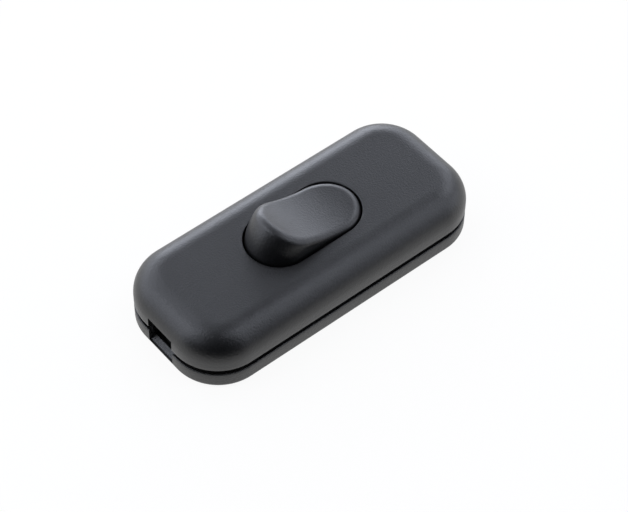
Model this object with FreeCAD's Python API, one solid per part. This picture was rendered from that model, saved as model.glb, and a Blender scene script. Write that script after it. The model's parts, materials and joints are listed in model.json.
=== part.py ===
import FreeCAD, Part
# Inline cord switch: a slim two-shell moulded body that sits on a cord, with a see-saw rocker on top.
# Millimetres. X runs along the cord, +Z is up, and the origin is the middle of the underside.
# The rocker is shown with its +X end pressed flush, its -X end raised and the contact open.
import math
import os
from FreeCAD import Vector

# outline of the body
body_length = 62.0
body_width = 27.0
plan_corner = 9.0          # corner radius seen from above
shoulder = 5.3             # radius between the flat top and the sides
foot_round = 1.2           # radius round the underside
edge_break = 0.15          # small bevel on moulded edges

# the two shells and their seam
side_wall = 1.6
roof = 1.6
floor = 1.3
cover_rim = 3.55           # height of the bottom cover's outer wall
seam_height = 1.15         # shadow groove between the shells
seam_depth = 1.0
groove_lip = 0.25          # top of the cover's wall in front of the groove
groove_drop = 0.6          # the groove slopes down this far behind the lip
tongue_wall = 1.0
tongue_rise = 2.1          # how far the cover's tongue stands up inside the housing
tongue_gap = 0.1
inner_gap = 0.3            # room between the tongue and what stands beside it
roof_bevel = 2.2           # inside corner between the roof and the sides

# cord inlet in each end
slot_width = 6.5
slot_top = 7.0
slot_corner = 0.5
sill_run = 0.35            # low lip at the mouth
sill_step = 0.25           # lip below the floor
ramp_run = 1.3             # sloped sill that the cord bends over
ramp_rise = 0.5
ramp_back = 0.8

# height of the mechanism, stacked up from the floor
strip = 0.8                # thickness of the terminal strips
fulcrum_rise = 1.75        # from the strip to the contact bar's tipping line
bar_thickness = 0.6
tip_clear = 0.05           # plunger tip over the level bar
plunger_reach = 4.85       # from the rocker's pivot to the plunger tip
pivot_drop = 2.2           # from the flat top down to the rocker's pivot

# rocker
rocker_reach = 11.35       # radius of the end walls about the pivot
rocker_width = 11.9
rocker_tilt = 15.6         # from level to either stop, degrees
rocker_wall = 1.3
dish_radius = 26.5         # hollow of the finger face
dish_height = 4.0          # middle of the finger face above the pivot
skirt_drop = 1.9
rim_round = 1.2
end_gap = 0.15
side_gap = 0.3
stop_gap = 0.15            # skirt to the cover's stop posts
stop_size = 1.0
stop_inset = 0.4           # rocker's side to the outside of a stop post
web_thickness = 1.4
hub_radius = 2.3
hub_drop = 3.0

# rocker bearings
trunnion_radius = 1.0
trunnion_bite = 0.95       # length inside the collar's bore
bearing_gap = 0.05
bearing_wall = 0.75
collar_wall = 1.2
shoulder_radius = 1.6      # thrust face round each trunnion
thrust_gap = 0.15

# plunger and its spring
plunger_radius = 1.25
plunger_gap = 0.1
plunger_top = 1.6          # below the pivot
bore_top = 1.6             # above the pivot
wire_radius = 0.15
wire_sides = 4             # the thin wire has a square section
spring_radius = 0.95       # middle of the wire
spring_turns = 4
spring_gap = 0.02

# contact bar and contacts
bar_reach = 6.0
bar_width = 4.8
bar_corner = 1.2
waist_width = 3.4
waist_length = 2.6
bar_tilt = 7.0             # from level to either side, degrees
contact_x = 5.0
contact_radius = 1.1
button_height = 0.5
rivet_shank = 0.6
rivet_head = 0.25
rivet_head_radius = 0.9
rivet_gap = 0.02
contact_dome = 4.0         # radius of the fixed contact's face
contact_gap = 0.08
rest_gap = 0.05
rest_radius = 0.9
fulcrum_gap = 0.03
fulcrum_radius = 0.4
ear_length = 1.8
ear_wall = 0.6
ear_rise = 1.05            # ears above the tipping line
ear_gap = 0.25

# terminals
strip_width = 5.1
riser_gap = 0.3            # rocker sweep to the strip's riser
terminal_rise = 2.1        # terminal seat above the floor
terminal_length = 6.2
common_tail = 1.2          # common strip past the tipping line
fixed_tail = 1.6           # switched strip past the fixed contact
peg_radius = 0.7
peg_head = 1.15
peg_cap = 0.5
peg_inset = 2.3            # from the riser
peg_gap = 0.05
saddle = 0.7
saddle_size = 5.0
screw_gap = 0.03
terminal_shank = 1.4
terminal_head = 2.2
terminal_cap = 1.6
terminal_bite = 2.9

# neutral connector
connector_length = 13.0
connector_width = 3.6
connector_height = 3.6
connector_lift = 0.6
connector_bevel = 0.4
connector_bore = 1.15
connector_shank = 1.1
connector_head = 1.5
connector_cap = 1.3
connector_bite = 1.4
connector_inset = 2.3      # screw from the connector's end
plinth_width = 2.4
stop_wall = 0.9
stop_width = 1.8
stop_rise = 1.2

# cord clamps
clamp_inset = 6.5          # from the end of the body
clamp_length = 4.0
clamp_thickness = 1.8
clamp_rise = 5.0           # clamp seat above the floor
clamp_boss = 2.0           # half width of each clamp seat
clamp_shank = 1.0
clamp_head = 1.85
clamp_cap = 1.2
clamp_bite = 3.6
clamp_side = 0.75          # slot edge to boss
ridge_height = 0.2
ridge_width = 0.8
rib_height = 0.5
rib_pitch = 1.6

# screws that hold the shells together
boss_radius = 2.3
boss_root = 0.4            # how far the bosses run up into the roof
boss_end = 3.6             # where the two bosses meet
case_shank = 1.3
case_head = 2.4
case_cap = 1.6
case_bite = 6.8
case_tip = 0.5             # spare depth past the screw's tip
recess_gap = 0.3
recess_wall = 0.9
head_seat = 2.2
case_hole_gap = 0.2

# drives in the screw heads
drive_width = 0.6
drive_depth = 0.7
cross_reach = 1.5

# places worked out from the sizes above
half_length = body_length / 2
half_width = body_width / 2
strip_top = floor + strip
fulcrum_z = strip_top + fulcrum_rise
pivot_z = fulcrum_z + bar_thickness + tip_clear + plunger_reach
top_z = pivot_z + pivot_drop
housing_low = cover_rim + seam_height
ceiling = top_z - roof
tongue_out = side_wall + tongue_gap
tongue_in = tongue_out + tongue_wall
opening_length = 2 * (rocker_reach + end_gap)
opening_width = rocker_width + 2 * side_gap
collar_low = pivot_z - trunnion_radius - bearing_wall
riser_x = rocker_reach + riser_gap
terminal_x = riser_x + strip + terminal_length / 2
terminal_z = floor + terminal_rise
clamp_x = half_length - clamp_inset
clamp_y = slot_width / 2 + clamp_side + clamp_boss
clamp_z = floor + clamp_rise
inner_y = half_width - tongue_in - inner_gap
case_x = terminal_x
case_y = inner_y - boss_radius
connector_y = inner_y - connector_width / 2
connector_z = floor + connector_lift
pivot = Vector(0, 0, pivot_z)
fulcrum = Vector(0, 0, fulcrum_z)
along = Vector(1, 0, 0)
across = Vector(0, 1, 0)
same_place = 1e-3          # points nearer than this count as one
same_way = 0.9             # edges this near to an axis count as parallel to it


def box(x0, x1, y0, y1, z0, z1):
    return Part.makeBox(x1 - x0, y1 - y0, z1 - z0, Vector(x0, y0, z0))


def post(x, y, radius, low, high):
    return Part.makeCylinder(radius, high - low, Vector(x, y, low))


def rod_along_y(radius, start, end, z):
    return Part.makeCylinder(radius, end - start, Vector(0, start, z), across)


def rounded_prism(length, width, radius, low, high):
    # rounded rectangle in plan, drawn as four sides and four quarter arcs
    a = length / 2
    b = width / 2
    edges = []
    for sx, sy, turn in ((1, -1, -90), (1, 1, 0), (-1, 1, 90), (-1, -1, 180)):
        centre = Vector(sx * (a - radius), sy * (b - radius), low)
        edges.append(Part.makeCircle(radius, centre, Vector(0, 0, 1), turn, turn + 90))
    sides = []
    for here, there in zip(edges, edges[1:] + edges[:1]):
        start = here.Vertexes[-1].Point
        end = there.Vertexes[0].Point
        if start.distanceToPoint(end) > same_place:
            sides.append(Part.LineSegment(start, end).toShape())
    outline = Part.Wire(Part.__sortEdges__(edges + sides))
    return Part.Face(outline).extrude(Vector(0, 0, high - low))


def body_prism(inset, low, high):
    return rounded_prism(body_length - 2 * inset, body_width - 2 * inset, plan_corner - inset, low, high)


def body_ring(outer, inner, low, high):
    return body_prism(outer, low, high).cut(body_prism(inner, low, high))


def oblong(length, width, low, high):
    # two straight sides and two half rounds
    reach = (length - width) / 2
    ends = [post(side * reach, 0, width / 2, low, high) for side in (-1, 1)]
    middle = box(-reach, reach, -width / 2, width / 2, low, high)
    return middle.fuse(ends).removeSplitter()


def edges_at(shape, z):
    return [e for e in shape.Edges if all(abs(v.Z - z) < same_place for v in e.Vertexes)]


def runs(edge):
    # how far the edge's start runs along each axis, whichever way it points
    way = edge.tangentAt(edge.FirstParameter)
    return Vector(abs(way.x), abs(way.y), abs(way.z))


def screw(shank, bite, head, cap, crossed=False):
    # head stands on the XY plane, shank points down, with a slot or a cross in the head
    solid = post(0, 0, head, 0, cap).fuse(post(0, 0, shank, -bite, 0))
    reach = cross_reach if crossed else head
    half = drive_width / 2
    solid = solid.cut(box(-reach, reach, -half, half, cap - drive_depth, cap))
    if crossed:
        solid = solid.cut(box(-half, half, -reach, reach, cap - drive_depth, cap))
    return solid.removeSplitter()


def placed(shape, x, y, z):
    copy = shape.copy()
    copy.translate(Vector(x, y, z))
    return copy


def tipped(shape, centre, degrees):
    # positive lowers the +X end
    copy = shape.copy()
    copy.rotate(centre, across, degrees)
    return copy


def upper_housing():
    outer = body_prism(0, housing_low, top_z)
    outer = outer.makeFillet(shoulder, edges_at(outer, top_z))
    outer = outer.makeChamfer(edge_break, edges_at(outer, housing_low))
    inner = body_prism(side_wall, housing_low, ceiling)
    inner = inner.makeChamfer(roof_bevel, edges_at(inner, ceiling))
    shell = outer.cut(inner)
    seat = body_ring(seam_depth, side_wall, cover_rim, housing_low + edge_break)
    collar = oblong(opening_length + 2 * collar_wall, opening_width + 2 * collar_wall, collar_low, ceiling)
    boss = post(0, 0, boss_radius, boss_end, ceiling + boss_root)
    bosses = [placed(boss, side * case_x, side * case_y, 0) for side in (-1, 1)]
    shell = shell.fuse([seat, collar] + bosses)
    slot = box(-body_length, body_length, -slot_width / 2, slot_width / 2, cover_rim, slot_top)
    rails = [e for e in edges_at(slot, slot_top) if runs(e).x > same_way]
    slot = slot.makeFillet(slot_corner, rails)
    middle = box(side_wall - half_length, half_length - side_wall, -half_width, half_width, 0, top_z)
    shell = shell.cut(slot.cut(middle))
    opening = oblong(opening_length, opening_width, collar_low, top_z)
    shell = shell.cut(opening)
    lip = [e for e in edges_at(shell, top_z) if abs(e.BoundBox.XMax) <= opening_length / 2 + same_place]
    lip = [e for e in lip if abs(e.BoundBox.YMax) <= opening_width / 2 + same_place]
    shell = shell.makeChamfer(edge_break, lip)
    bearing_end = opening_width / 2 + collar_wall
    shell = shell.cut(rod_along_y(trunnion_radius + bearing_gap, -bearing_end, bearing_end, pivot_z))
    depth = head_seat + case_bite + case_tip
    for side in (-1, 1):
        shell = shell.cut(post(side * case_x, side * case_y, case_shank + screw_gap, boss_end, depth))
    return shell.removeSplitter()


def cord_ramp(side):
    # sill at the cord inlet, sloped outwards and dropping back to the floor inside
    crest = half_length - ramp_run
    outline = [(half_length - sill_run, floor), (crest, floor + ramp_rise), (crest - ramp_back, floor)]
    points = [Vector(side * x, -slot_width / 2, z) for x, z in outline]
    return Part.Face(Part.makePolygon(points + points[:1])).extrude(across * slot_width)


def seam_groove():
    # ring with a sloped outer side and an upright inner one
    low = cover_rim - groove_drop
    high = cover_rim + seam_height
    ring = body_prism(groove_lip, low, high)
    ring = ring.makeChamfer(groove_drop, edges_at(ring, low))
    return ring.cut(body_prism(seam_depth, low, high))


def bottom_cover():
    tray = body_prism(0, 0, cover_rim)
    tray = tray.makeFillet(foot_round, edges_at(tray, 0))
    tray = tray.makeChamfer(edge_break, edges_at(tray, cover_rim))
    tray = tray.cut([body_prism(tongue_in, floor, cover_rim), seam_groove()])
    tongue = body_ring(tongue_out, tongue_in, cover_rim - edge_break, cover_rim + tongue_rise)
    solids = [tongue]
    cuts = []
    slot_high = cover_rim + tongue_rise
    for side in (-1, 1):
        # inlet through the wall, with a low lip at the mouth
        for start, low in ((tongue_in + inner_gap, floor), (sill_run, floor - sill_step)):
            near, far = sorted((side * (half_length - start), side * body_length))
            cuts.append(box(near, far, -slot_width / 2, slot_width / 2, low, slot_high))
        # ribs that bite into the cord under its clamp
        for step in (-1, 0, 1):
            x = side * clamp_x + step * rib_pitch
            half = ridge_width / 2
            reach = slot_width / 2
            solids.append(box(x - half, x + half, -reach, reach, floor, floor + rib_height))
        # seats for the clamp screws
        for row in (-1, 1):
            x = side * clamp_x
            y = row * clamp_y
            seat = box(-clamp_boss, clamp_boss, -clamp_boss, clamp_boss, floor, clamp_z)
            solids.append(placed(seat, x, y, 0))
            low = clamp_z - clamp_bite - case_tip
            cuts.append(post(x, y, clamp_shank + screw_gap, low, clamp_z))
        # pillar under the terminal, clear of the strip's riser
        near, far = sorted((side * (riser_x + strip + peg_gap), side * (terminal_x + terminal_length / 2)))
        solids.append(box(near, far, -strip_width / 2, strip_width / 2, floor, terminal_z))
        deep = terminal_z + strip - terminal_bite + saddle - case_tip / 2
        cuts.append(post(side * terminal_x, 0, terminal_shank + peg_gap, deep, terminal_z))
        # staked peg that holds the strip down
        peg_x = side * (riser_x - peg_inset)
        solids.append(post(peg_x, 0, peg_radius, floor, strip_top + peg_cap))
        solids.append(post(peg_x, 0, peg_head, strip_top, strip_top + peg_cap))
        # boss and head recess for the shell screw
        rim = case_head + recess_gap + recess_wall
        solids.append(post(side * case_x, side * case_y, rim, floor, boss_end))
        cuts.append(post(side * case_x, side * case_y, case_head + recess_gap, 0, head_seat))
        cuts.append(post(side * case_x, side * case_y, case_shank + case_hole_gap, 0, boss_end))
        # posts that stop the rocker's skirt
        for row in (-1, 1):
            x0, x1 = sorted((side * (stop_x() - stop_size), side * stop_x()))
            y0, y1 = sorted((row * (stop_y() - stop_size), row * stop_y()))
            solids.append(box(x0, x1, y0, y1, floor, skirt_height(stop_x()) - stop_gap))
        # end stop of the neutral connector
        end = connector_length / 2 + tongue_gap
        x0, x1 = sorted((side * end, side * (end + stop_wall)))
        y0 = connector_y - stop_width / 2
        y1 = connector_y + stop_width / 2
        solids.append(box(x0, x1, y0, y1, floor, floor + stop_rise))
    plinth = connector_length / 2 - stop_wall
    edge = plinth_width / 2
    solids.append(box(-plinth, plinth, connector_y - edge, connector_y + edge, floor, connector_z))
    tray = tray.fuse(solids).cut(cuts)
    return tray.fuse([cord_ramp(-1), cord_ramp(1)]).removeSplitter()


def wheel(inset):
    # body of revolution about the pivot: flat cheeks and a round rim, seen in section as half an oblong
    half = rocker_width / 2 - inset
    cheek = rocker_reach - rocker_width / 2
    corners = [Vector(0, -half, 0), Vector(0, -half, cheek), Vector(0, half, cheek), Vector(0, half, 0)]
    rim = Part.Arc(corners[1], Vector(0, 0, cheek + half), corners[2]).toShape()
    sides = [Part.LineSegment(corners[i], corners[j]).toShape() for i, j in ((0, 1), (2, 3), (3, 0))]
    section = Part.Face(Part.Wire(Part.__sortEdges__([rim] + sides)))
    return placed(section.revolve(Vector(0, 0, 0), across, 360), 0, 0, pivot_z)


def dish(extra):
    reach = rocker_width
    centre = pivot_z + dish_height + dish_radius
    return rod_along_y(dish_radius + extra, -reach, reach, centre)


def skirt_height(x):
    # underside of the pressed end of the skirt at the stop
    lean = math.radians(rocker_tilt)
    return pivot_z - skirt_drop / math.cos(lean) - x * math.tan(lean)


def stop_y():
    return rocker_width / 2 - stop_inset


def stop_x():
    # where the middle of the skirt's wall stands at the posts' height
    half = rocker_width / 2
    return rocker_reach - half + math.sqrt(half ** 2 - stop_y() ** 2) + stop_size / 2


def rocker():
    half = rocker_width / 2
    below = box(-2 * rocker_reach, 2 * rocker_reach, -half, half, -body_length, pivot_z - skirt_drop)
    solid = wheel(0).cut([dish(0), below]).removeSplitter()
    axis_z = pivot_z + dish_height + dish_radius
    rim = []
    for edge in solid.Edges:
        middle = edge.valueAt((edge.FirstParameter + edge.LastParameter) / 2)
        ends = [v.Point for v in edge.Vertexes] + [middle]
        if all(abs(math.hypot(p.x, p.z - axis_z) - dish_radius) < same_place for p in ends):
            rim.append(edge)
    solid = solid.makeFillet(rim_round, rim)
    cavity = wheel(rocker_wall).cut(dish(rocker_wall))
    solid = solid.cut(cavity)
    inside = half - rocker_wall / 2
    web_low = pivot_z - skirt_drop
    web_high = pivot_z + dish_height - rocker_wall / 2
    web = box(-web_thickness / 2, web_thickness / 2, -inside, inside, web_low, web_high)
    hub = post(0, 0, hub_radius, pivot_z - hub_drop, web_high)
    solid = solid.fuse([web, hub])
    thrust = opening_width / 2 - thrust_gap
    trunnion = opening_width / 2 + trunnion_bite
    for side in (-1, 1):
        for radius, end in ((shoulder_radius, thrust), (trunnion_radius, trunnion)):
            start, stop = sorted((side * inside, side * end))
            solid = solid.fuse(rod_along_y(radius, start, stop, pivot_z))
    solid = solid.cut(post(0, 0, plunger_radius + plunger_gap, pivot_z - hub_drop, pivot_z + bore_top))
    return tipped(solid.removeSplitter(), pivot, rocker_tilt)


def plunger():
    tip_centre = pivot_z - plunger_reach + plunger_radius
    stem = post(0, 0, plunger_radius, tip_centre, pivot_z - plunger_top)
    tip = Part.makeSphere(plunger_radius, Vector(0, 0, tip_centre))
    return tipped(stem.fuse(tip).removeSplitter(), pivot, rocker_tilt)


def plunger_spring():
    low = pivot_z - plunger_top + wire_radius + spring_gap
    high = pivot_z + bore_top - wire_radius - spring_gap
    helix = Part.makeHelix((high - low) / spring_turns, high - low, spring_radius)
    start = helix.Edges[0]
    normal = start.tangentAt(start.FirstParameter)
    middle = start.valueAt(start.FirstParameter)
    upward = normal.cross(along)
    turns = [2 * math.pi * i / wire_sides for i in range(wire_sides)]
    corners = [middle + (along * math.cos(t) + upward * math.sin(t)) * wire_radius for t in turns]
    section = Part.makePolygon(corners + corners[:1])
    wire = Part.Wire(helix.Edges).makePipeShell([section], True, True)
    return tipped(placed(wire, 0, 0, low), pivot, rocker_tilt)


def contact_bar():
    high = fulcrum_z + bar_thickness
    plate = box(-bar_reach, bar_reach, -bar_width / 2, bar_width / 2, fulcrum_z, high)
    corners = [e for e in plate.Edges if runs(e).z > same_way]
    plate = plate.makeFillet(bar_corner, corners)
    for side in (-1, 1):
        y0, y1 = sorted((side * waist_width / 2, side * bar_width))
        plate = plate.cut(box(-waist_length / 2, waist_length / 2, y0, y1, fulcrum_z, high))
    plate = plate.cut(post(contact_x, 0, rivet_shank + rivet_gap, fulcrum_z, high))
    return tipped(plate, fulcrum, -bar_tilt)


def moving_contact():
    high = fulcrum_z + bar_thickness
    rivet = post(contact_x, 0, contact_radius, fulcrum_z - button_height, fulcrum_z)
    rivet = rivet.fuse(post(contact_x, 0, rivet_shank, fulcrum_z, high))
    rivet = rivet.fuse(post(contact_x, 0, rivet_head_radius, high, high + rivet_head))
    return tipped(rivet.removeSplitter(), fulcrum, -bar_tilt)


def landing():
    # middle of the moving contact's face when the contact is closed
    lean = math.radians(bar_tilt)
    x = contact_x * math.cos(lean) - button_height * math.sin(lean)
    z = fulcrum_z - contact_x * math.sin(lean) - button_height * math.cos(lean)
    return x, z


def fixed_contact():
    x, z = landing()
    top = z - contact_gap
    button = post(x, 0, contact_radius, strip_top, top)
    dome = Part.makeSphere(contact_dome, Vector(x, 0, top - contact_dome))
    shank = post(x, 0, rivet_shank, floor, strip_top)
    return button.common(dome).fuse(shank).removeSplitter()


def strip_profile(tail, side):
    # flat on the floor, up a riser and out over the pillar, bent from one strip
    end = terminal_x + terminal_length / 2
    outline = [
        (tail, floor), (riser_x + strip, floor), (riser_x + strip, terminal_z), (end, terminal_z),
        (end, terminal_z + strip), (riser_x, terminal_z + strip), (riser_x, strip_top), (tail, strip_top)]
    points = [Vector(side * x, -strip_width / 2, z) for x, z in outline]
    face = Part.Face(Part.makePolygon(points + points[:1]))
    solid = face.extrude(across * strip_width)
    hole = post(side * terminal_x, 0, terminal_shank + screw_gap, terminal_z, terminal_z + strip)
    peg_hole = post(side * (riser_x - peg_inset), 0, peg_radius + peg_gap, floor, strip_top)
    return solid.cut([hole, peg_hole])


def common_terminal():
    solid = strip_profile(-common_tail, -1)
    ridge_top = fulcrum_z - fulcrum_gap
    half = waist_width / 2
    ridge_centre = ridge_top - fulcrum_radius
    ridge = box(-fulcrum_radius, fulcrum_radius, -half, half, strip_top, ridge_centre)
    pieces = [ridge, rod_along_y(fulcrum_radius, -half, half, ridge_centre)]
    for side in (-1, 1):
        inner = side * (half + ear_gap)
        y0, y1 = sorted((inner, inner + side * ear_wall))
        y0 = max(y0, -strip_width / 2)
        y1 = min(y1, strip_width / 2)
        pieces.append(box(-ear_length / 2, ear_length / 2, y0, y1, strip_top, fulcrum_z + ear_rise))
    # dimple that the open end of the bar rests over
    rest_top = fulcrum_z - contact_x * math.tan(math.radians(bar_tilt)) - rest_gap
    pieces.append(post(-contact_x, 0, rest_radius, strip_top, rest_top - rest_radius / 2))
    cap = Part.makeSphere(rest_radius, Vector(-contact_x, 0, rest_top - rest_radius))
    pieces.append(cap.common(post(-contact_x, 0, rest_radius, strip_top, rest_top)))
    return solid.fuse(pieces).removeSplitter()


def switched_terminal():
    x, _ = landing()
    solid = strip_profile(x - fixed_tail, 1)
    return solid.cut(post(x, 0, rivet_shank + rivet_gap, floor, strip_top))


def terminal_saddles():
    half = saddle_size / 2
    low = terminal_z + strip
    plates = []
    for side in (-1, 1):
        x = side * terminal_x
        plate = box(x - half, x + half, -half, half, low, low + saddle)
        plates.append(plate.cut(post(x, 0, terminal_shank + screw_gap, low, low + saddle)))
    return Part.makeCompound(plates)


def terminal_screws():
    model = screw(terminal_shank, terminal_bite, terminal_head, terminal_cap)
    seat = terminal_z + strip + saddle
    return Part.makeCompound([placed(model, side * terminal_x, 0, seat) for side in (-1, 1)])


def connector_screw_x():
    return connector_length / 2 - connector_inset


def neutral_connector():
    half = connector_length / 2
    y0 = connector_y - connector_width / 2
    block = box(-half, half, y0, y0 + connector_width, connector_z, connector_z + connector_height)
    long_edges = [e for e in block.Edges if runs(e).x > same_way]
    block = block.makeChamfer(connector_bevel, long_edges)
    middle = connector_z + connector_height / 2
    bore = Part.makeCylinder(connector_bore, connector_length, Vector(-half, connector_y, middle), along)
    block = block.cut(bore)
    for side in (-1, 1):
        hole = post(side * connector_screw_x(), connector_y, connector_shank + screw_gap, middle,
                    connector_z + connector_height)
        block = block.cut(hole)
    return block.removeSplitter()


def neutral_screws():
    model = screw(connector_shank, connector_bite, connector_head, connector_cap)
    seat = connector_z + connector_height
    x = connector_screw_x()
    return Part.makeCompound([placed(model, side * x, connector_y, seat) for side in (-1, 1)])


def cord_clamp(side):
    bar = oblong(2 * (clamp_y + clamp_length / 2), clamp_length, clamp_z, clamp_z + clamp_thickness)
    bar.rotate(Vector(0, 0, 0), Vector(0, 0, 1), 90)
    half = ridge_width / 2
    # ridges under the bar lie between the cover's ribs
    for step in (-0.5, 0.5):
        x = step * rib_pitch
        reach = slot_width / 2
        bar = bar.fuse(box(x - half, x + half, -reach, reach, clamp_z - ridge_height, clamp_z))
    for row in (-1, 1):
        bar = bar.cut(post(0, row * clamp_y, clamp_shank + screw_gap, clamp_z, clamp_z + clamp_thickness))
    return placed(bar.removeSplitter(), side * clamp_x, 0, 0)


def clamp_screws():
    model = screw(clamp_shank, clamp_bite + clamp_thickness, clamp_head, clamp_cap)
    seat = clamp_z + clamp_thickness
    places = [(side * clamp_x, row * clamp_y) for side in (-1, 1) for row in (-1, 1)]
    return Part.makeCompound([placed(model, x, y, seat) for x, y in places])


def housing_screws():
    model = screw(case_shank, case_bite, case_head, case_cap, crossed=True)
    model.rotate(Vector(0, 0, 0), Vector(1, 0, 0), 180)
    return Part.makeCompound([placed(model, side * case_x, side * case_y, head_seat) for side in (-1, 1)])


nodes = {
    "upper_housing": upper_housing(),
    "bottom_cover": bottom_cover(),
    "rocker": rocker(),
    "plunger": plunger(),
    "plunger_spring": plunger_spring(),
    "contact_bar": contact_bar(),
    "moving_contact": moving_contact(),
    "fixed_contact": fixed_contact(),
    "common_terminal": common_terminal(),
    "switched_terminal": switched_terminal(),
    "terminal_saddles": terminal_saddles(),
    "terminal_screws": terminal_screws(),
    "neutral_connector": neutral_connector(),
    "neutral_screws": neutral_screws(),
    "near_cord_clamp": cord_clamp(-1),
    "far_cord_clamp": cord_clamp(1),
    "clamp_screws": clamp_screws(),
    "housing_screws": housing_screws(),
}

os.makedirs("parts", exist_ok=True)
for name, shape in nodes.items():
    shape.exportStep("parts/" + name + ".step")
    state = "valid" if shape.isValid() else "BROKEN"
    print(name, len(shape.Solids), "solids", round(shape.Volume, 2), "mm3", state)
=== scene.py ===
import json
import math
import bmesh
import bpy
import numpy as np
from mathutils import Matrix, Vector


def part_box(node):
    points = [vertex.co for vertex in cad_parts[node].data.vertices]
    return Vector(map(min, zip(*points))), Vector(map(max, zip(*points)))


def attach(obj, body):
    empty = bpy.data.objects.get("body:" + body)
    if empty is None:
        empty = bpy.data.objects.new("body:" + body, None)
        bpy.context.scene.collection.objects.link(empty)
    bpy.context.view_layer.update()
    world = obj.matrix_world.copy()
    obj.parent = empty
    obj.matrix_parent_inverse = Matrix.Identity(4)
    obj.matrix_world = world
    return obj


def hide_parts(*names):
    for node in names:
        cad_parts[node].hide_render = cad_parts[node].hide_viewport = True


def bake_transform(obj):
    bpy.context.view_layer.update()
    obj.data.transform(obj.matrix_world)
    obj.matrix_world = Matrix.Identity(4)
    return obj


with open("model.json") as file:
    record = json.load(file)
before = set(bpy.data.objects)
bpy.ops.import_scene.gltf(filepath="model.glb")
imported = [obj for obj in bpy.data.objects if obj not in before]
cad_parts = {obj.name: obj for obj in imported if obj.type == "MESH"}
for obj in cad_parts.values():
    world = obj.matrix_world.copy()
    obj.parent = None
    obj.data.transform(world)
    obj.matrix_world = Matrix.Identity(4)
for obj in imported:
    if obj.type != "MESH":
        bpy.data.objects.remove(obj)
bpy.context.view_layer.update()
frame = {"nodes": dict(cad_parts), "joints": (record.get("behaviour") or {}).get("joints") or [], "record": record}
mm = 0.001                            # sizes below are in millimetres, meshes in metres
joints = {joint["name"]: joint for joint in frame["joints"]}
pivot = np.array(joints["rocker_tilt"]["pos_m"]) / mm


# meshes

meshing = {
    "merge": 1e-7, "sliver": 1e-8,    # metres; points and edges smaller than these are closed up
    "crease": 32,                     # degrees; flatter edges shade smooth
    "rodSides": 56,
    "overshoot": 1.0}                 # how far a cutting rod runs past the face that it opens


def finishMesh(piece):
    # merges the seams, turns the faces outwards and keeps edges over the crease angle sharp
    mesh = piece.data
    work = bmesh.new()
    work.from_mesh(mesh)
    bmesh.ops.remove_doubles(work, verts=work.verts, dist=meshing["merge"])
    bmesh.ops.dissolve_degenerate(work, edges=work.edges, dist=meshing["sliver"])
    bmesh.ops.recalc_face_normals(work, faces=work.faces)
    work.to_mesh(mesh)
    work.free()
    mesh.shade_smooth()
    mesh.set_sharp_from_angle(angle=math.radians(meshing["crease"]))
    if piece.name not in bpy.context.scene.collection.objects:
        bpy.context.scene.collection.objects.link(piece)
    return piece


def meshPiece(name, points, quads, polygons=()):
    # points in millimetres, quads as four indices each, polygons as rows of indices
    mesh = bpy.data.meshes.new(name)
    faces = quads.reshape(-1, 4).tolist() + [list(polygon) for polygon in polygons]
    mesh.from_pydata((points.reshape(-1, 3) * mm).tolist(), [], faces)
    return finishMesh(bpy.data.objects.new(name, mesh))


def gridCells(index, closedRows=False, closedColumns=True):
    # corners of the cells between neighbouring rows and columns of an index grid;
    # closed rows or columns run on from the last to the first
    if closedRows:
        index = np.vstack([index, index[:1]])
    if closedColumns:
        index = np.hstack([index, index[:, :1]])
    return np.stack([index[:-1, :-1], index[:-1, 1:], index[1:, 1:], index[1:, :-1]], -1)


def rod(start, end, radius):
    # circle of the radius carried from start to end, capped at both
    ends = np.array([start, end], float)
    axis = (ends[1] - ends[0]) / np.linalg.norm(ends[1] - ends[0])
    u = np.cross(axis, np.roll(axis, 1))
    v = np.cross(axis, u)
    sides = meshing["rodSides"]
    a = np.linspace(0, 2 * math.pi, sides, endpoint=False)[:, None]
    circle = radius * (np.cos(a) * u + np.sin(a) * v)
    index = np.arange(2 * sides).reshape(2, sides)
    return meshPiece("rod", circle + ends[:, None, :], gridCells(index), index)


def block(low, high):
    # eight corners of a box, every choice of low or high in x, y and z
    corners = np.stack(np.meshgrid(*zip(low, high), indexing="ij"), -1)
    quads = [[0, 1, 3, 2], [4, 6, 7, 5], [0, 4, 5, 1], [2, 3, 7, 6], [0, 2, 6, 4], [1, 5, 7, 3]]
    return meshPiece("block", corners, np.array(quads))


def combine(piece, tools, operation):
    # joins the tools to the piece or cuts them from it, then deletes them
    for tool in tools:
        step = piece.modifiers.new("join", "BOOLEAN")
        step.operation = operation
        step.solver = "MANIFOLD"
        step.object = tool
    depsgraph = bpy.context.evaluated_depsgraph_get()
    result = bpy.data.meshes.new_from_object(piece.evaluated_get(depsgraph))
    piece.modifiers.clear()
    plain = piece.data
    piece.data = result
    bpy.data.meshes.remove(plain)
    for tool in tools:
        bpy.data.meshes.remove(tool.data)
    return finishMesh(piece)


def nodeBox(node):
    # lowest and highest corner of a node in millimetres
    return [np.array(corner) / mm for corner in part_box(node)]


# plan of the body: a rectangle of straight core lines with the corner radius put round it

lowCorner, highCorner = nodeBox("bottom_cover")
bodyPlan = {
    "length": highCorner[0] - lowCorner[0],
    "width": highCorner[1] - lowCorner[1],
    "corner": 9.0,
    "slot": 6.5,                          # width of the cord inlet
    "sideCells": 96, "cornerCells": 26,
    "endCells": (3, 12),                  # beside the inlet and across it
    "nearly": 1e-6}                       # lengths and directions this near count as the same


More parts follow.
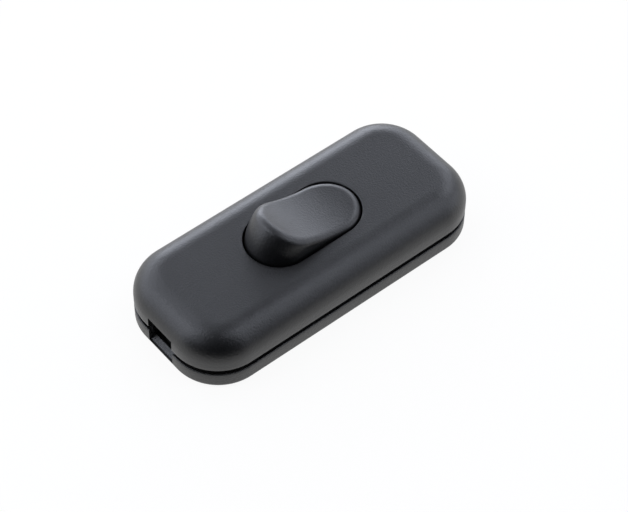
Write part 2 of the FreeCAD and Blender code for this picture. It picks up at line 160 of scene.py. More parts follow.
def planColumns(plan):
    # every column is a point of the core and an outward direction, and the outline is
    # core + corner * direction; each quarter has a straight run and then a round corner
    a = plan["length"] / 2 - plan["corner"]
    b = plan["width"] / 2 - plan["corner"]
    s = plan["slot"] / 2
    outer, middle = plan["endCells"]
    end = np.concatenate([np.linspace(-b, -s, outer + 1)[:-1], np.linspace(-s, s, middle + 1)[:-1],
                          np.linspace(s, b, outer + 1)[:-1]])
    side = np.linspace(a, -a, plan["sideCells"] + 1)[:-1]
    turn = np.linspace(0, math.pi / 2, plan["cornerCells"] + 1)[:-1]
    runs = ((np.full_like(end, a), end), (side, np.full_like(side, b)),
            (np.full_like(end, -a), -end), (-side, np.full_like(side, -b)))
    corners = ((a, b), (-a, b), (-a, -b), (a, -b))
    points = []
    directions = []
    for quarter, (run, corner) in enumerate(zip(runs, corners)):
        angle = quarter * math.pi / 2
        points += [np.column_stack(run), np.tile(corner, (len(turn), 1))]
        directions += [np.tile([math.cos(angle), math.sin(angle)], (len(run[0]), 1)),
                       np.column_stack([np.cos(angle + turn), np.sin(angle + turn)])]
    return np.concatenate(points), np.concatenate(directions)


core, outward = planColumns(bodyPlan)
columnCount = len(core)
outline = core + bodyPlan["corner"] * outward


def bodyRing(inset, z):
    # the outline drawn in by the inset, at one height
    flat = core + (bodyPlan["corner"] - inset) * outward
    return np.column_stack([flat, np.full(columnCount, z)])


def oblongRing(straight, radius, z):
    # each outline point is drawn towards the middle line until it meets the oblong
    centre = np.column_stack([np.clip(outline[:, 0], -straight, straight), np.zeros(columnCount)])
    ray = outline - centre
    ray /= np.linalg.norm(ray, axis=1, keepdims=True)
    return np.column_stack([centre + radius * ray, np.full(columnCount, z)])


def quarterTurn(count, extra=()):
    # even steps from 0 to 90 degrees, with the extra angle sorted in
    return np.unique(np.append(np.linspace(0, math.pi / 2, count), extra))


def inletColumns(plan, side):
    # columns across the inlet's width at one end of the body
    across = np.abs(core[:, 1]) <= plan["slot"] / 2 + plan["nearly"]
    facing = outward[:, 0] * side > 1 - plan["nearly"]
    return np.flatnonzero(across & facing)


slotColumns = [inletColumns(bodyPlan, side) for side in (1, -1)]


def notched(rings, cells, removed, outerRow, innerRow, jamb, sill=()):
    # drops the removed rows of cells at both inlets and closes each cut with a sill and two jambs;
    # the sill's own points are (inset, height) on the way from the outer row to the inner one
    keep = np.ones(cells.shape[:2], bool)
    points = np.concatenate(rings)
    quads = []
    polygons = []
    for columns in slotColumns:
        keep[np.ix_(removed, columns[:-1])] = False
        extra = np.array([bodyRing(inset, z)[columns] for inset, z in sill]).reshape(-1, 3)
        added = len(points) + np.arange(len(extra)).reshape(-1, len(columns))
        points = np.concatenate([points, extra])
        steps = np.vstack([outerRow * columnCount + columns, added, innerRow * columnCount + columns])
        quads.append(gridCells(steps, closedColumns=False).reshape(-1, 4))
        for place in (0, -1):
            polygons.append(np.concatenate([jamb * columnCount + columns[place], added[::-1, place]]))
    return points, np.concatenate([cells[keep]] + quads), polygons


# upper housing

housing = {
    "top": nodeBox("upper_housing")[1][2], "seat": 3.55,
    "wall": 1.6, "roof": 1.6, "roofBevel": 2.2,
    "seam": 1.15, "seamDepth": 1.0,       # shadow groove between the shells
    "shoulder": 5.3, "edge": 0.15,        # radii of the soft shoulder and of the small edges
    "slotTop": 7.0,
    "openingLength": 23.0, "openingWidth": 12.5, "collarWall": 1.2, "collarLow": 7.6, "bearing": 1.05,
    "boss": 2.3, "bossEnd": 3.6, "bossRoot": 0.4, "pilot": 1.33, "pilotTop": 9.5, "screwHead": 2.4,
    "shoulderSteps": 26, "edgeSteps": 4, "collarSteps": 5, "flatSteps": 10,
    # the top's rings, 0 at the shoulder and 1 at the opening
    "flatEdges": (0.06, 0.97), "flatMiddle": (0.15, 0.9)}
screwX, screwY = nodeBox("housing_screws")[1][:2] - housing["screwHead"]


def upperHousing(h):
    # one closed section in (inset, height), carried round the plan: seat, groove, outer wall,
    # quarter-round shoulder, flat top, opening, collar and inside
    low = h["seat"] + h["seam"]
    centre = h["top"] - h["shoulder"]
    ceiling = h["top"] - h["roof"]
    straight = (h["openingLength"] - h["openingWidth"]) / 2
    radius = h["openingWidth"] / 2
    e = h["edge"]
    depth = h["seamDepth"]
    rings = [bodyRing(h["wall"], h["seat"]), bodyRing(depth, h["seat"]), bodyRing(depth, low)]
    for a in quarterTurn(h["edgeSteps"]):
        rings.append(bodyRing(e - e * math.sin(a), low + e - e * math.cos(a)))
    rings.append(bodyRing(0, (low + e + centre) / 2))
    slotTurn = math.asin((h["slotTop"] - centre) / h["shoulder"])
    for a in quarterTurn(h["shoulderSteps"], slotTurn):
        if a == slotTurn:
            outerRow = len(rings)
        rings.append(bodyRing(h["shoulder"] * (1 - math.cos(a)), centre + h["shoulder"] * math.sin(a)))
    flatStart = bodyRing(h["shoulder"], h["top"])
    flatEnd = oblongRing(straight, radius + e, h["top"])
    first, last = h["flatEdges"]
    for t in (first, *np.linspace(*h["flatMiddle"], h["flatSteps"]), last, 1):
        rings.append(flatStart + (flatEnd - flatStart) * t)
    for a in quarterTurn(h["edgeSteps"])[1:]:
        rings.append(oblongRing(straight, radius + e - e * math.sin(a), h["top"] - e + e * math.cos(a)))
    for z in np.linspace(h["top"] - e, h["collarLow"], h["collarSteps"])[1:]:
        rings.append(oblongRing(straight, radius, z))
    for z in (h["collarLow"], ceiling):
        rings.append(oblongRing(straight, radius + h["collarWall"], z))
    for inset, z in ((h["wall"] + h["roofBevel"], ceiling), (h["wall"], ceiling - h["roofBevel"]),
                     (h["wall"], h["slotTop"])):
        rings.append(bodyRing(inset, z))
    rows = len(rings)
    innerRow = rows - 1
    cells = gridCells(np.arange(rows * columnCount).reshape(rows, -1), closedRows=True)
    removed = np.append(innerRow, np.arange(outerRow))
    jamb = np.append(removed, outerRow)
    return meshPiece("upper_housing_shell", *notched(rings, cells, removed, outerRow, innerRow, jamb))


def housingBosses(shell, h):
    # two screw bosses under the roof, their pilot holes, and the bearing bore across the collar
    bosses = []
    holes = []
    for side in (-1, 1):
        x = side * screwX
        y = side * screwY
        bosses.append(rod((x, y, h["bossEnd"]), (x, y, h["top"] - h["roof"] + h["bossRoot"]), h["boss"]))
        holes.append(rod((x, y, h["bossEnd"] - meshing["overshoot"]), (x, y, h["pilotTop"]), h["pilot"]))
    reach = h["openingWidth"] / 2 + h["collarWall"]
    holes.append(rod((0, -reach, pivot[2]), (0, reach, pivot[2]), h["bearing"]))
    combine(shell, bosses, "UNION")
    return combine(shell, holes, "DIFFERENCE")


housingShell = housingBosses(upperHousing(housing), housing)
print("upper housing:", len(housingShell.data.polygons), "faces")


# rocker: a wheel about the pivot with a hollow top, found by casting rays from its middle line

rockerShape = {
    "reach": 11.35, "width": 11.9, "skirt": 1.9, "wall": 1.3,
    "dishRadius": 26.5, "dishHeight": 4.0,                   # the hollow finger face
    "rim": 1.2, "innerRim": 0.5,
    "tilt": max(joints["rocker_tilt"]["range_deg"]) / 2,
    "web": 1.4, "hub": 2.3, "hubDrop": 3.0, "bore": 1.35, "boreTop": 1.6,
    "shoulder": 1.6, "thrustGap": 0.15, "trunnion": 1.0, "bite": 0.95,
    # the rays start on a line of this half length, this high; their ends are found by halving
    "line": 5.0, "eye": 1.0, "ray": 20.0, "halvings": 44,
    "endCells": 72, "sideCells": 48, "rows": 110, "innerRows": 40}


def rockerGap(s, x, y, z, inset, rim):
    # distance outside the wheel and distance inside the dish, joined by a rounded edge of radius rim
    cheek = s["reach"] - s["width"] / 2
    wheel = np.hypot(np.maximum(np.hypot(x, z) - cheek, 0), y) - s["width"] / 2 + inset
    dish = s["dishRadius"] + inset - np.hypot(x, z - s["dishHeight"] - s["dishRadius"])
    a = np.maximum(wheel + rim, 0)
    b = np.maximum(dish + rim, 0)
    return np.minimum(np.maximum(wheel, dish) + rim, 0) + np.hypot(a, b) - rim


def rayEnds(s, gap, shape):
    # distance along each ray where the gap turns positive, by halving the stretch that holds it
    low = np.zeros(shape)
    high = np.full(shape, s["ray"])
    for _ in range(s["halvings"]):
        middle = (low + high) / 2
        inside = gap(middle) < 0
        low = np.where(inside, middle, low)
        high = np.where(inside, high, middle)
    return (low + high) / 2


def rockerSkin(s, inset, rim, rows):
    # columns leave the middle line sideways and fan out at its ends; rows turn each ray from straight up
    # to the foot of the skirt, and each ray ends at the skin
    right = math.pi / 2
    line = np.linspace(-s["line"], s["line"], s["sideCells"] + 1)
    fan = np.linspace(-right, right, s["endCells"] + 1)[1:-1]
    sideways = np.full_like(line, right)
    tip = np.full_like(fan, s["line"])
    start = np.concatenate([line, tip, line[::-1], -tip])
    angle = np.concatenate([-sideways, fan, sideways, fan + math.pi])
    dx = np.cos(angle)
    dy = np.sin(angle)
    foot = rayEnds(s, lambda t: rockerGap(s, start + t * dx, t * dy, -s["skirt"], inset, rim), len(start))
    lowest = np.arctan2(-s["skirt"] - s["eye"], foot)
    lean = right + (lowest - right) * np.linspace(0, 1, rows)[:, None]
    ahead = np.cos(lean)
    rise = np.sin(lean)

    def alongRay(t):
        return start + t * ahead * dx, t * ahead * dy, s["eye"] + t * rise

    ends = rayEnds(s, lambda t: rockerGap(s, *alongRay(t), inset, rim), lean.shape)
    return np.stack(alongRay(ends), -1)


def rockerPiece(s):
    # outer and inner skin, joined by a hem round the foot of the skirt
    outer = rockerSkin(s, 0, s["rim"], s["rows"])
    inner = rockerSkin(s, s["wall"], s["innerRim"], s["innerRows"])
    points = np.concatenate([outer, inner])
    index = np.arange(points[..., 0].size).reshape(points.shape[:2])
    foot = len(outer) - 1
    grids = (index[:foot + 1], index[foot + 1:], index[[foot, -1]])
    return meshPiece("rocker_button", points, np.concatenate([gridCells(grid) for grid in grids]))


def rockerHub(piece, s):
    # cross web and plunger hub under the face, thrust shoulders and trunnions at the sides, plunger's bore
    inside = (s["width"] - s["wall"]) / 2
    high = s["dishHeight"] - s["wall"] / 2
    opening = housing["openingWidth"] / 2
    added = [block((-s["web"] / 2, -inside, -s["skirt"]), (s["web"] / 2, inside, high)),
             rod((0, 0, -s["hubDrop"]), (0, 0, high), s["hub"])]
    for side in (-1, 1):
        for radius, end in ((s["shoulder"], opening - s["thrustGap"]), (s["trunnion"], opening + s["bite"])):
            added.append(rod((0, side * inside, 0), (0, side * end, 0), radius))
    combine(piece, added, "UNION")
    bore = rod((0, 0, -s["hubDrop"] - meshing["overshoot"]), (0, 0, s["boreTop"]), s["bore"])
    return combine(piece, [bore], "DIFFERENCE")


def tipped(piece, degrees):
    # turn about the pivot that lowers the +X end, then the shift from the pivot's own frame to the body's
    vertices = piece.data.vertices
    flat = np.empty(3 * len(vertices))
    vertices.foreach_get("co", flat)
    x, y, z = flat.reshape(-1, 3).T
    a = math.radians(degrees)
    turned = np.stack([x * math.cos(a) + z * math.sin(a), y, z * math.cos(a) - x * math.sin(a)], -1)
    vertices.foreach_set("co", (turned + pivot * mm).ravel())
    piece.data.update()
    return piece


rockerButton = tipped(rockerHub(rockerPiece(rockerShape), rockerShape), rockerShape["tilt"])
print("rocker:", len(rockerButton.data.polygons), "faces")


# plunger spring: stands between the plunger's top and the bore's end; the real one shortens as the plunger slides,
# and this coil keeps one length

springShape = {
    "wire": 0.15, "radius": 0.95, "turns": 4, "gap": 0.02,
    "plungerTop": -1.6,                   # from the pivot
    "turnCells": 40, "wireCells": 12}
springLow = springShape["plungerTop"] + springShape["wire"] + springShape["gap"]
springHigh = rockerShape["boreTop"] - springShape["wire"] - springShape["gap"]


def coilSpring(c, low, high):
    # round wire carried along a helix: its centre is (R cos turn, R sin turn, rise), and the wire's circle
    # lies across the helix's own direction
    t = np.linspace(0, 1, c["turns"] * c["turnCells"] + 1)[:, None]
    w = np.linspace(0, 2 * math.pi, c["wireCells"], endpoint=False)[None, :]
    turn = 2 * math.pi * c["turns"] * t
    slope = math.atan2(high - low, 2 * math.pi * c["turns"] * c["radius"])
    out = c["radius"] + c["wire"] * np.cos(w)
    across = c["wire"] * np.sin(w)
    x = out * np.cos(turn) + across * math.sin(slope) * np.sin(turn)
    y = out * np.sin(turn) - across * math.sin(slope) * np.cos(turn)
    z = low + (high - low) * t + across * math.cos(slope)
    index = np.arange(z.size).reshape(z.shape)
    return meshPiece("plunger_spring_coil", np.stack([x, y, z], -1), gridCells(index), index[[0, -1]])


plungerSpring = tipped(coilSpring(springShape, springLow, springHigh), rockerShape["tilt"])
print("plunger spring:", len(plungerSpring.data.polygons), "faces")


# bottom cover

cover = {
    "rim": housing["seat"], "floor": 1.3, "foot": 1.2, "edge": 0.15,
    "lip": 0.25, "groove": 0.6,           # the shadow groove slopes down behind the lip
    "tongueOut": 1.7, "tongueIn": 2.7, "tongueRise": 2.1,
    "sill": 1.05, "sillRun": 0.35, "rampRun": 1.3, "rampRise": 0.5, "rampBack": 0.8,
    "root": 0.4,                          # how far each post runs down into the floor
    "ribWidth": 0.8, "ribHeight": 0.5, "ribPitch": 1.6,
    "clampSeat": 2.0, "clampHead": 1.85, "clampHole": 1.03, "clampBite": 3.6, "clampSpare": 0.5,
    "strip": 0.8, "pillarGap": 0.05, "terminalHead": 2.2, "terminalHole": 1.45, "terminalDeep": 1.65,
    "peg": 0.7, "pegInset": 2.3, "pegHead": 1.15, "pegCap": 0.5,
    "boss": 3.6, "recess": 2.7, "recessDeep": 2.2, "screwHole": 1.5,
    "stopInset": 0.4, "stopSize": 1.0, "stopGap": 0.15,
    "plinthWidth": 2.4, "endStop": 0.9, "endStopWidth": 1.8, "endStopRise": 1.2, "endStopGap": 0.1,
    "footSteps": 9, "edgeSteps": 4,
    "baseRings": (0.8, 0.1)}              # flat rings of the underside, inside the foot's curve


def bottomCover(k):
    # section in (inset, height), carried round the plan and capped by the underside and the floor:
    # rounded foot, outer wall, lip, groove and tongue
    rings = [bodyRing(k["foot"] + inside, 0) for inside in k["baseRings"]]
    sillTurn = math.acos(1 - k["sill"] / k["foot"])
    for a in quarterTurn(k["footSteps"], sillTurn):
        if a == sillTurn:
            sillRow = len(rings)
        rings.append(bodyRing(k["foot"] * (1 - math.sin(a)), k["foot"] * (1 - math.cos(a))))
    rings.append(bodyRing(0, (k["floor"] + k["rim"]) / 2))
    e = k["edge"]
    for a in quarterTurn(k["edgeSteps"]):
        rings.append(bodyRing(e * (1 - math.cos(a)), k["rim"] - e + e * math.sin(a)))
    top = k["rim"] + k["tongueRise"]
    grooveLow = k["rim"] - k["groove"]
    depth = housing["seamDepth"]
    for inset, z in ((k["lip"], k["rim"]), (k["lip"] + k["groove"], grooveLow), (depth, grooveLow),
                     (depth, k["rim"]), (k["tongueOut"], k["rim"]), (k["tongueOut"], top),
                     (k["tongueIn"], top), (k["tongueIn"], k["floor"])):
        rings.append(bodyRing(inset, z))
    order = np.arange(len(rings))
    index = np.arange(len(rings) * columnCount).reshape(-1, columnCount)
    ramp = ((k["sillRun"], k["sill"]), (k["sillRun"], k["floor"]),
            (k["rampRun"], k["floor"] + k["rampRise"]), (k["rampRun"] + k["rampBack"], k["floor"]))
    points, quads, polygons = notched(rings, gridCells(index), order[sillRow:-1], sillRow, order[-1],
                                      order[sillRow:], ramp)
    return meshPiece("bottom_cover_shell", points, quads, polygons + [index[0], index[-1]])


def rockerStops(s, k):
    # outer corner and top of the posts that stop the skirt, inside the rocker's outline
    lean = math.radians(s["tilt"])
    half = s["width"] / 2
    y = half - k["stopInset"]
    x = s["reach"] - half + math.sqrt(half ** 2 - y ** 2) + k["stopSize"] / 2
    return x, y, pivot[2] - s["skirt"] / math.cos(lean) - x * math.tan(lean) - k["stopGap"]


def coverPosts(shell, k):
    # ribs, seats, pillars, pegs, bosses and stops that stand on the floor, then the holes down into them
    floor = k["floor"]
    low = floor - k["root"]
    past = meshing["overshoot"]
    slot = bodyPlan["slot"] / 2
    clampX = sum(corner[0] for corner in nodeBox("far_cord_clamp")) / 2
    clampY = nodeBox("clamp_screws")[1][1] - k["clampHead"]
    clampTip = nodeBox("clamp_screws")[0][2]
    clampZ = clampTip + k["clampBite"]
    stripLow, stripHigh = nodeBox("switched_terminal")
    terminalX = nodeBox("terminal_screws")[1][0] - k["terminalHead"]
    terminalZ = stripHigh[2] - k["strip"]
    riserX = 2 * terminalX - stripHigh[0] - k["strip"]
    stopX, stopY, stopTop = rockerStops(rockerShape, k)
    added = []
    holes = []
    for side in (-1, 1):
        for step in (-1, 0, 1):
            x = side * clampX + step * k["ribPitch"]
            half = k["ribWidth"] / 2
            added.append(block((x - half, -slot, low), (x + half, slot, floor + k["ribHeight"])))
        for row in (-1, 1):
            x = side * clampX
            y = row * clampY
            half = k["clampSeat"]
            added.append(block((x - half, y - half, low), (x + half, y + half, clampZ)))
            holes.append(rod((x, y, clampTip - k["clampSpare"]), (x, y, clampZ + past), k["clampHole"]))
            x = side * stopX
            y = row * stopY
            added.append(block((x - side * k["stopSize"], y - row * k["stopSize"], low), (x, y, stopTop)))
        inner = riserX + k["strip"] + k["pillarGap"]
        added.append(block((side * inner, stripLow[1], low), (side * stripHigh[0], stripHigh[1], terminalZ)))
        x = side * terminalX
        holes.append(rod((x, 0, terminalZ - k["terminalDeep"]), (x, 0, terminalZ + past), k["terminalHole"]))
        x = side * (riserX - k["pegInset"])
        pegTop = floor + k["strip"]
        added.append(rod((x, 0, low), (x, 0, pegTop + k["pegCap"]), k["peg"]))
        added.append(rod((x, 0, pegTop), (x, 0, pegTop + k["pegCap"]), k["pegHead"]))
        x = side * screwX
        y = side * screwY
        added.append(rod((x, y, low), (x, y, housing["bossEnd"]), k["boss"]))
        holes.append(rod((x, y, -past), (x, y, k["recessDeep"]), k["recess"]))
        holes.append(rod((x, y, -past), (x, y, housing["bossEnd"] + past), k["screwHole"]))
    barLow, barHigh = nodeBox("neutral_connector")
    barY = (barLow[1] + barHigh[1]) / 2
    half = barHigh[0] - k["endStop"]
    edge = k["plinthWidth"] / 2
    added.append(block((-half, barY - edge, low), (half, barY + edge, barLow[2])))
    edge = k["endStopWidth"] / 2
    for side in (-1, 1):
        near = side * (barHigh[0] + k["endStopGap"])
        far = near + side * k["endStop"]
        added.append(block((near, barY - edge, low), (far, barY + edge, floor + k["endStopRise"])))
    combine(shell, added, "UNION")
    return combine(shell, holes, "DIFFERENCE")


coverShell = coverPosts(bottomCover(cover), cover)
print("bottom cover:", len(coverShell.data.polygons), "faces")


# materials

noiseDetail = {"mottle": 4.0, "fine": 3.0, "fineRoughness": 0.6}


def linear(hexText):
    # sRGB hex to linear colour
    c = np.array([int(hexText[i:i + 2], 16) for i in (1, 3, 5)]) / 255
    return (*np.where(c <= 0.04045, c / 12.92, ((c + 0.055) / 1.055) ** 2.4), 1.0)


def addNode(tree, kind, values=None, links=None, **settings):
    # a node with its settings, the values of its sockets and the links into them
    node = tree.nodes.new(kind)
    for name, value in settings.items():
        setattr(node, name, value)
    for name, value in (values or {}).items():
        node.inputs[name].default_value = value
    for name, source in (links or {}).items():
        tree.links.new(source, node.inputs[name])
    return node


def newMaterial(name):
    # an empty node tree to build on
    material = bpy.data.materials.new(name)
    material.use_nodes = True
    material.node_tree.nodes.clear()
    return material, material.node_tree


def surface(tree, p, cloud, polish, height, values):
    # colour from dark to light by the cloud, roughness by the polish, relief from the height
    colour = addNode(tree, "ShaderNodeMix", {"A": linear(p["dark"]), "B": linear(p["light"])},
                     {"Factor": cloud.outputs["Fac"]}, data_type="RGBA")
    rough = addNode(tree, "ShaderNodeMapRange", {"To Min": p["rough"][0], "To Max": p["rough"][1]},
                    {"Value": polish.outputs["Fac"]})
    relief = addNode(tree, "ShaderNodeBump", {"Strength": p["relief"], "Distance": p["depth"] * mm},
                     {"Height": height.outputs["Fac"]})
    shader = addNode(tree, "ShaderNodeBsdfPrincipled", values,
                     {"Base Color": colour.outputs["Result"], "Roughness": rough.outputs["Result"],
                      "Normal": relief.outputs["Normal"]})
    addNode(tree, "ShaderNodeOutputMaterial", links={"Surface": shader.outputs["BSDF"]})


def mouldedPlastic(name, p):
    # moulded plastic takes the grain of its tool: an even satin skin with a faint mottle
    material, tree = newMaterial(name)
    where = addNode(tree, "ShaderNodeTexCoord").outputs["Object"]
    mottle = addNode(tree, "ShaderNodeTexNoise",
                     {"Scale": 1 / (p["mottle"] * mm), "Detail": noiseDetail["mottle"]}, {"Vector": where})
    grain = addNode(tree, "ShaderNodeTexNoise",
                    {"Scale": 1 / (p["grain"] * mm), "Detail": noiseDetail["fine"],
                     "Roughness": noiseDetail["fineRoughness"]}, {"Vector": where})
    surface(tree, p, mottle, mottle, grain, {"IOR": p["ior"]})
    return material


def workedMetal(name, p):
    # stamped, turned or drawn metal: fine scratches along the working direction and a slight tarnish
    material, tree = newMaterial(name)
    where = addNode(tree, "ShaderNodeTexCoord").outputs["Object"]
    along = addNode(tree, "ShaderNodeMapping", {"Scale": p["stretch"]}, {"Vector": where})
    lines = addNode(tree, "ShaderNodeTexNoise",
                    {"Scale": 1 / (p["lines"] * mm), "Detail": noiseDetail["fine"]},
                    {"Vector": along.outputs["Vector"]})
    cloud = addNode(tree, "ShaderNodeTexNoise",
                    {"Scale": 1 / (p["cloud"] * mm), "Detail": noiseDetail["fine"]}, {"Vector": where})
    surface(tree, p, cloud, lines, lines, {"Metallic": 1.0})
    return material


# spark-eroded tools leave a satin black that spreads each softbox into a wide soft sheen;
# their grain is really about 0.05 mm, and it is drawn coarser so that it shows
housingAbs = mouldedPlastic("black ABS, spark-textured moulding", {
    "dark": "#030304", "light": "#070708", "mottle": 5.0, "rough": (0.36, 0.43), "grain": 0.36,
    "relief": 1.0, "depth": 0.05, "ior": 1.6})
# a coarser tool gives a speckled sheen; the base colour is painted greyer than the housing's, a painted reflection
# of the floor's light on the cover's band
coverAbsPaintedLighter = mouldedPlastic("black ABS, coarse spark-textured moulding painted lighter", {
    "dark": "#121211", "light": "#1a1a18", "mottle": 5.0, "rough": (0.38, 0.46), "grain": 0.35,
    "relief": 1.0, "depth": 0.08, "ior": 1.6})
# the housing's satin black with a closer mottle, so that the hollow face shades evenly
rockerAbs = mouldedPlastic("black ABS, satin moulded button", {
    "dark": "#030304", "light": "#060607", "mottle": 4.0, "rough": (0.36, 0.43), "grain": 0.36,
    "relief": 1.0, "depth": 0.05, "ior": 1.6})
# plain tool marks: a dull, slightly waxy skin
clampNylon = mouldedPlastic("black polyamide, plain moulding", {
    "dark": "#141414", "light": "#1b1b1b", "mottle": 3.0, "rough": (0.45, 0.55), "grain": 0.2,
    "relief": 0.2, "depth": 0.01, "ior": 1.53})
# undyed: a warm off-white with the same waxy skin
plungerNylon = mouldedPlastic("natural polyamide, plain moulding", {
    "dark": "#d8d3c4", "light": "#e4e0d3", "mottle": 2.0, "rough": (0.4, 0.5), "grain": 0.2,
    "relief": 0.2, "depth": 0.01, "ior": 1.53})
# rolled strip: warm yellow with fine lines along its length
stampedBrass = workedMetal("brass, stamped strip", {
    "dark": "#b08d45", "light": "#c9a75c", "rough": (0.25, 0.4), "lines": 0.25, "cloud": 3.0,
    "stretch": (0.15, 1.0, 1.0), "relief": 0.2, "depth": 0.01})
# rolled strip again, redder and a little tarnished
springBronze = workedMetal("phosphor bronze, stamped", {
    "dark": "#a5683f", "light": "#b97c50", "rough": (0.25, 0.4), "lines": 0.2, "cloud": 3.0,
    "stretch": (0.15, 1.0, 1.0), "relief": 0.2, "depth": 0.01})
# pressed heads: bright and almost white, with no direction
contactSilver = workedMetal("silver alloy, headed rivet", {
    "dark": "#b9b7b0", "light": "#d0cec8", "rough": (0.2, 0.35), "lines": 0.2, "cloud": 1.0,
    "stretch": (1.0, 1.0, 1.0), "relief": 0.15, "depth": 0.01})
# a thin plating over headed wire: cool grey with a soft gloss
zincSteel = workedMetal("zinc-plated steel, cold headed", {
    "dark": "#a3a6ab", "light": "#bcbfc4", "rough": (0.28, 0.42), "lines": 0.22, "cloud": 1.5,
    "stretch": (1.0, 1.0, 0.3), "relief": 0.2, "depth": 0.01})
# drawn wire: darker grey, smooth
springSteel = workedMetal("spring steel, drawn wire", {
    "dark": "#8d8f92", "light": "#a4a6a9", "rough": (0.25, 0.38), "lines": 0.1, "cloud": 1.0,
    "stretch": (1.0, 1.0, 1.0), "relief": 0.2, "depth": 0.005})

slotMaterials = {
    "housing_plastic": housingAbs, "rocker_plastic": rockerAbs, "clamp_plastic": clampNylon,
    "nylon": plungerNylon, "spring_steel": springSteel, "plated_steel": zincSteel, "brass": stampedBrass,
    "bronze": springBronze, "silver": contactSilver}
for subpart in frame["record"]["subparts"]:
    node = frame["nodes"][subpart["node"]]
    node.data.materials.clear()
    node.data.materials.append(slotMaterials[subpart["material_slot"]])

for piece, node, body, slotName, finish in (
        (housingShell, "upper_housing", "housing", "housing_plastic", housingAbs),
        (coverShell, "bottom_cover", "housing", "housing_plastic", coverAbsPaintedLighter),
        (rockerButton, "rocker", "rocker", "rocker_plastic", rockerAbs)):
    piece.data.materials.clear()
    piece.data.materials.append(finish)
    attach(piece, body)
    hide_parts(node)

# the coil takes the spring steel in place of the hidden CAD spring; in the switch its upper end goes with the
# rocker and its lower end with the plunger
plungerSpring.data.materials.append(springSteel)
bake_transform(plungerSpring)
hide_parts("plunger_spring")
print("materials:", len(bpy.data.materials))


# floor, light and camera

studio = {
    "floorSize": 8.0, "floorDrop": 0.02,           # metres and millimetres
    "floorColour": "#f4f4f2", "floorWhite": 0.93,
    # where the mirrored part of the floor ends: degrees and millimetres
    "paperAzimuth": 242, "paperEdge": 50.0,
    "sky": "#dfe4ee", "skyStrength": 0.05,
    "lampColour": "#edf2ff", "lampDistance": 1.0,  # metres
    # rows of softboxes: elevation in degrees, width and height in metres, radiance by azimuth;
    # the radiances are a least-squares match to the photograph, rounded to halves, and only
    # the middle row's at 0 was then raised
    "softboxes": {
        "low": {"elevation": 13, "size": (0.5, 0.42),
                "radiance": {0: 1, 30: 3, 60: 6.5, 90: 3, 120: 2.5, 150: 2, 300: 1, 330: 2}},
        "middle": {"elevation": 39, "size": (0.42, 0.46),
                   "radiance": {0: 3.5, 30: 1.5, 60: 0.5, 90: 2, 120: 2, 150: 3, 180: 1, 300: 2, 330: 1}},
        "top": {"elevation": 64, "size": (0.4, 0.4), "radiance": {30: 0.5, 90: 2, 300: 3}},
        "spot": {"elevation": 62, "size": (0.25, 0.25), "radiance": {154: 4.5}}}}


def studioPaper(s):
    # the eye and mirrors see it almost evenly white, and its small matt share keeps the shadow
    material, tree = newMaterial("matt white studio paper")
    path = addNode(tree, "ShaderNodeLightPath").outputs
    seen = path["Is Camera Ray"]
    for ray in ("Is Glossy Ray", "Is Transmission Ray"):
        seen = addNode(tree, "ShaderNodeMath", links={0: seen, 1: path[ray]}, operation="MAXIMUM").outputs[0]
    share = addNode(tree, "ShaderNodeMath", {1: s["floorWhite"]}, {0: seen}, operation="MULTIPLY")
    paper = addNode(tree, "ShaderNodeBsdfDiffuse", {"Color": linear(s["floorColour"])})
    glow = addNode(tree, "ShaderNodeEmission", {"Color": (1, 1, 1, 1), "Strength": 1.0})
    mix = addNode(tree, "ShaderNodeMixShader",
                  links={0: share.outputs[0], 1: paper.outputs[0], 2: glow.outputs[0]})
    addNode(tree, "ShaderNodeOutputMaterial", links={"Surface": mix.outputs[0]})
    return material


def floorSheets(s):
    # two flat halves that meet along a line in front of the object; the front one isn't mirrored,
    # as if the paper ended there
    material = studioPaper(s)
    a = math.radians(s["paperAzimuth"])
    ahead = np.array([math.cos(a), math.sin(a), 0])
    aside = np.array([-math.sin(a), math.cos(a), 0])
    far = s["floorSize"] / 2 / mm
    edge = s["paperEdge"]
    for name, start, stop in (("studio_floor", -far, edge), ("studio_floor_front", edge, far)):
        corners = [ahead * start - aside * far, ahead * stop - aside * far,
                   ahead * stop + aside * far, ahead * start + aside * far]
        sheet = meshPiece(name, np.array(corners) - [0, 0, s["floorDrop"]], np.array([[0, 1, 2, 3]]))
        sheet.data.materials.append(material)
        sheet.visible_glossy = name == "studio_floor"


def studioWorld(s):
    # the dim room round the softboxes
    world = bpy.data.worlds.new("studio sky")
    world.use_nodes = True
    tree = world.node_tree
    tree.nodes.clear()
    sky = addNode(tree, "ShaderNodeBackground", {"Color": linear(s["sky"]), "Strength": s["skyStrength"]})
    addNode(tree, "ShaderNodeOutputWorld", links={"Surface": sky.outputs[0]})
    bpy.context.scene.world = world


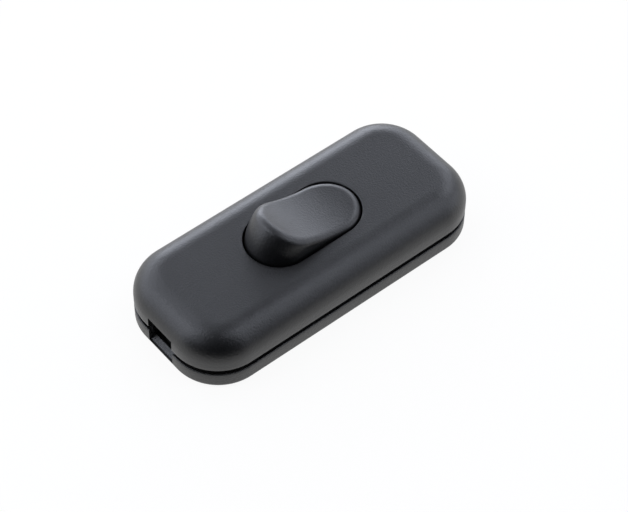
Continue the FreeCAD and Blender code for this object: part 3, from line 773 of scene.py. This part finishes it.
def softbox(s, name, azimuth, elevation, width, height, radiance):
    # faces the object from its place on a sphere; the power for that radiance is pi times the face's area
    light = bpy.data.lights.new(name, "AREA")
    light.shape = "RECTANGLE"
    light.size = width
    light.size_y = height
    light.energy = radiance * math.pi * width * height
    light.color = linear(s["lampColour"])[:3]
    a = math.radians(azimuth)
    e = math.radians(elevation)
    away = Vector((math.cos(a) * math.cos(e), math.sin(a) * math.cos(e), math.sin(e)))
    turn = away.to_track_quat("Z", "Y").to_matrix().to_4x4()
    lamp = bpy.data.objects.new(name, light)
    lamp.matrix_world = Matrix.Translation(away * s["lampDistance"]) @ turn
    lamp.visible_camera = False
    bpy.context.scene.collection.objects.link(lamp)


floorSheets(studio)
studioWorld(studio)
for rowName, row in studio["softboxes"].items():
    for azimuth, radiance in row["radiance"].items():
        softbox(studio, f"{rowName} softbox {azimuth}", azimuth, row["elevation"], *row["size"], radiance)

# fitted to the object's outline in the photograph
photoCamera = {
    "azimuth": -39.608, "elevation": 50.531, "roll": 0.476,   # degrees, roll turns the picture clockwise
    "distance": 0.36751, "target": (0, 0, 0.007),             # metres
    "lens": 121.53, "sensor": 36.0, "shift": (0.01807, -0.02474)}


def addCamera(c):
    # looks at the target from the distance, with its own axes turned by the roll
    data = bpy.data.cameras.new("photo camera")
    data.lens = c["lens"]
    data.sensor_width = c["sensor"]
    data.sensor_fit = "HORIZONTAL"
    data.shift_x, data.shift_y = c["shift"]
    a = math.radians(c["azimuth"])
    e = math.radians(c["elevation"])
    roll = math.radians(c["roll"])
    back = Vector((math.sin(a) * math.cos(e), -math.cos(a) * math.cos(e), math.sin(e)))
    right = Vector((0, 0, 1)).cross(back).normalized()
    up = back.cross(right)
    across = right * math.cos(roll) + up * math.sin(roll)
    upward = up * math.cos(roll) - right * math.sin(roll)
    turn = Matrix((across, upward, back)).transposed().to_4x4()
    camera = bpy.data.objects.new("photo camera", data)
    camera.matrix_world = Matrix.Translation(Vector(c["target"]) + back * c["distance"]) @ turn
    bpy.context.scene.collection.objects.link(camera)
    bpy.context.scene.camera = camera


addCamera(photoCamera)
bpy.context.scene.view_settings.view_transform = "Standard"
print("studio ready")
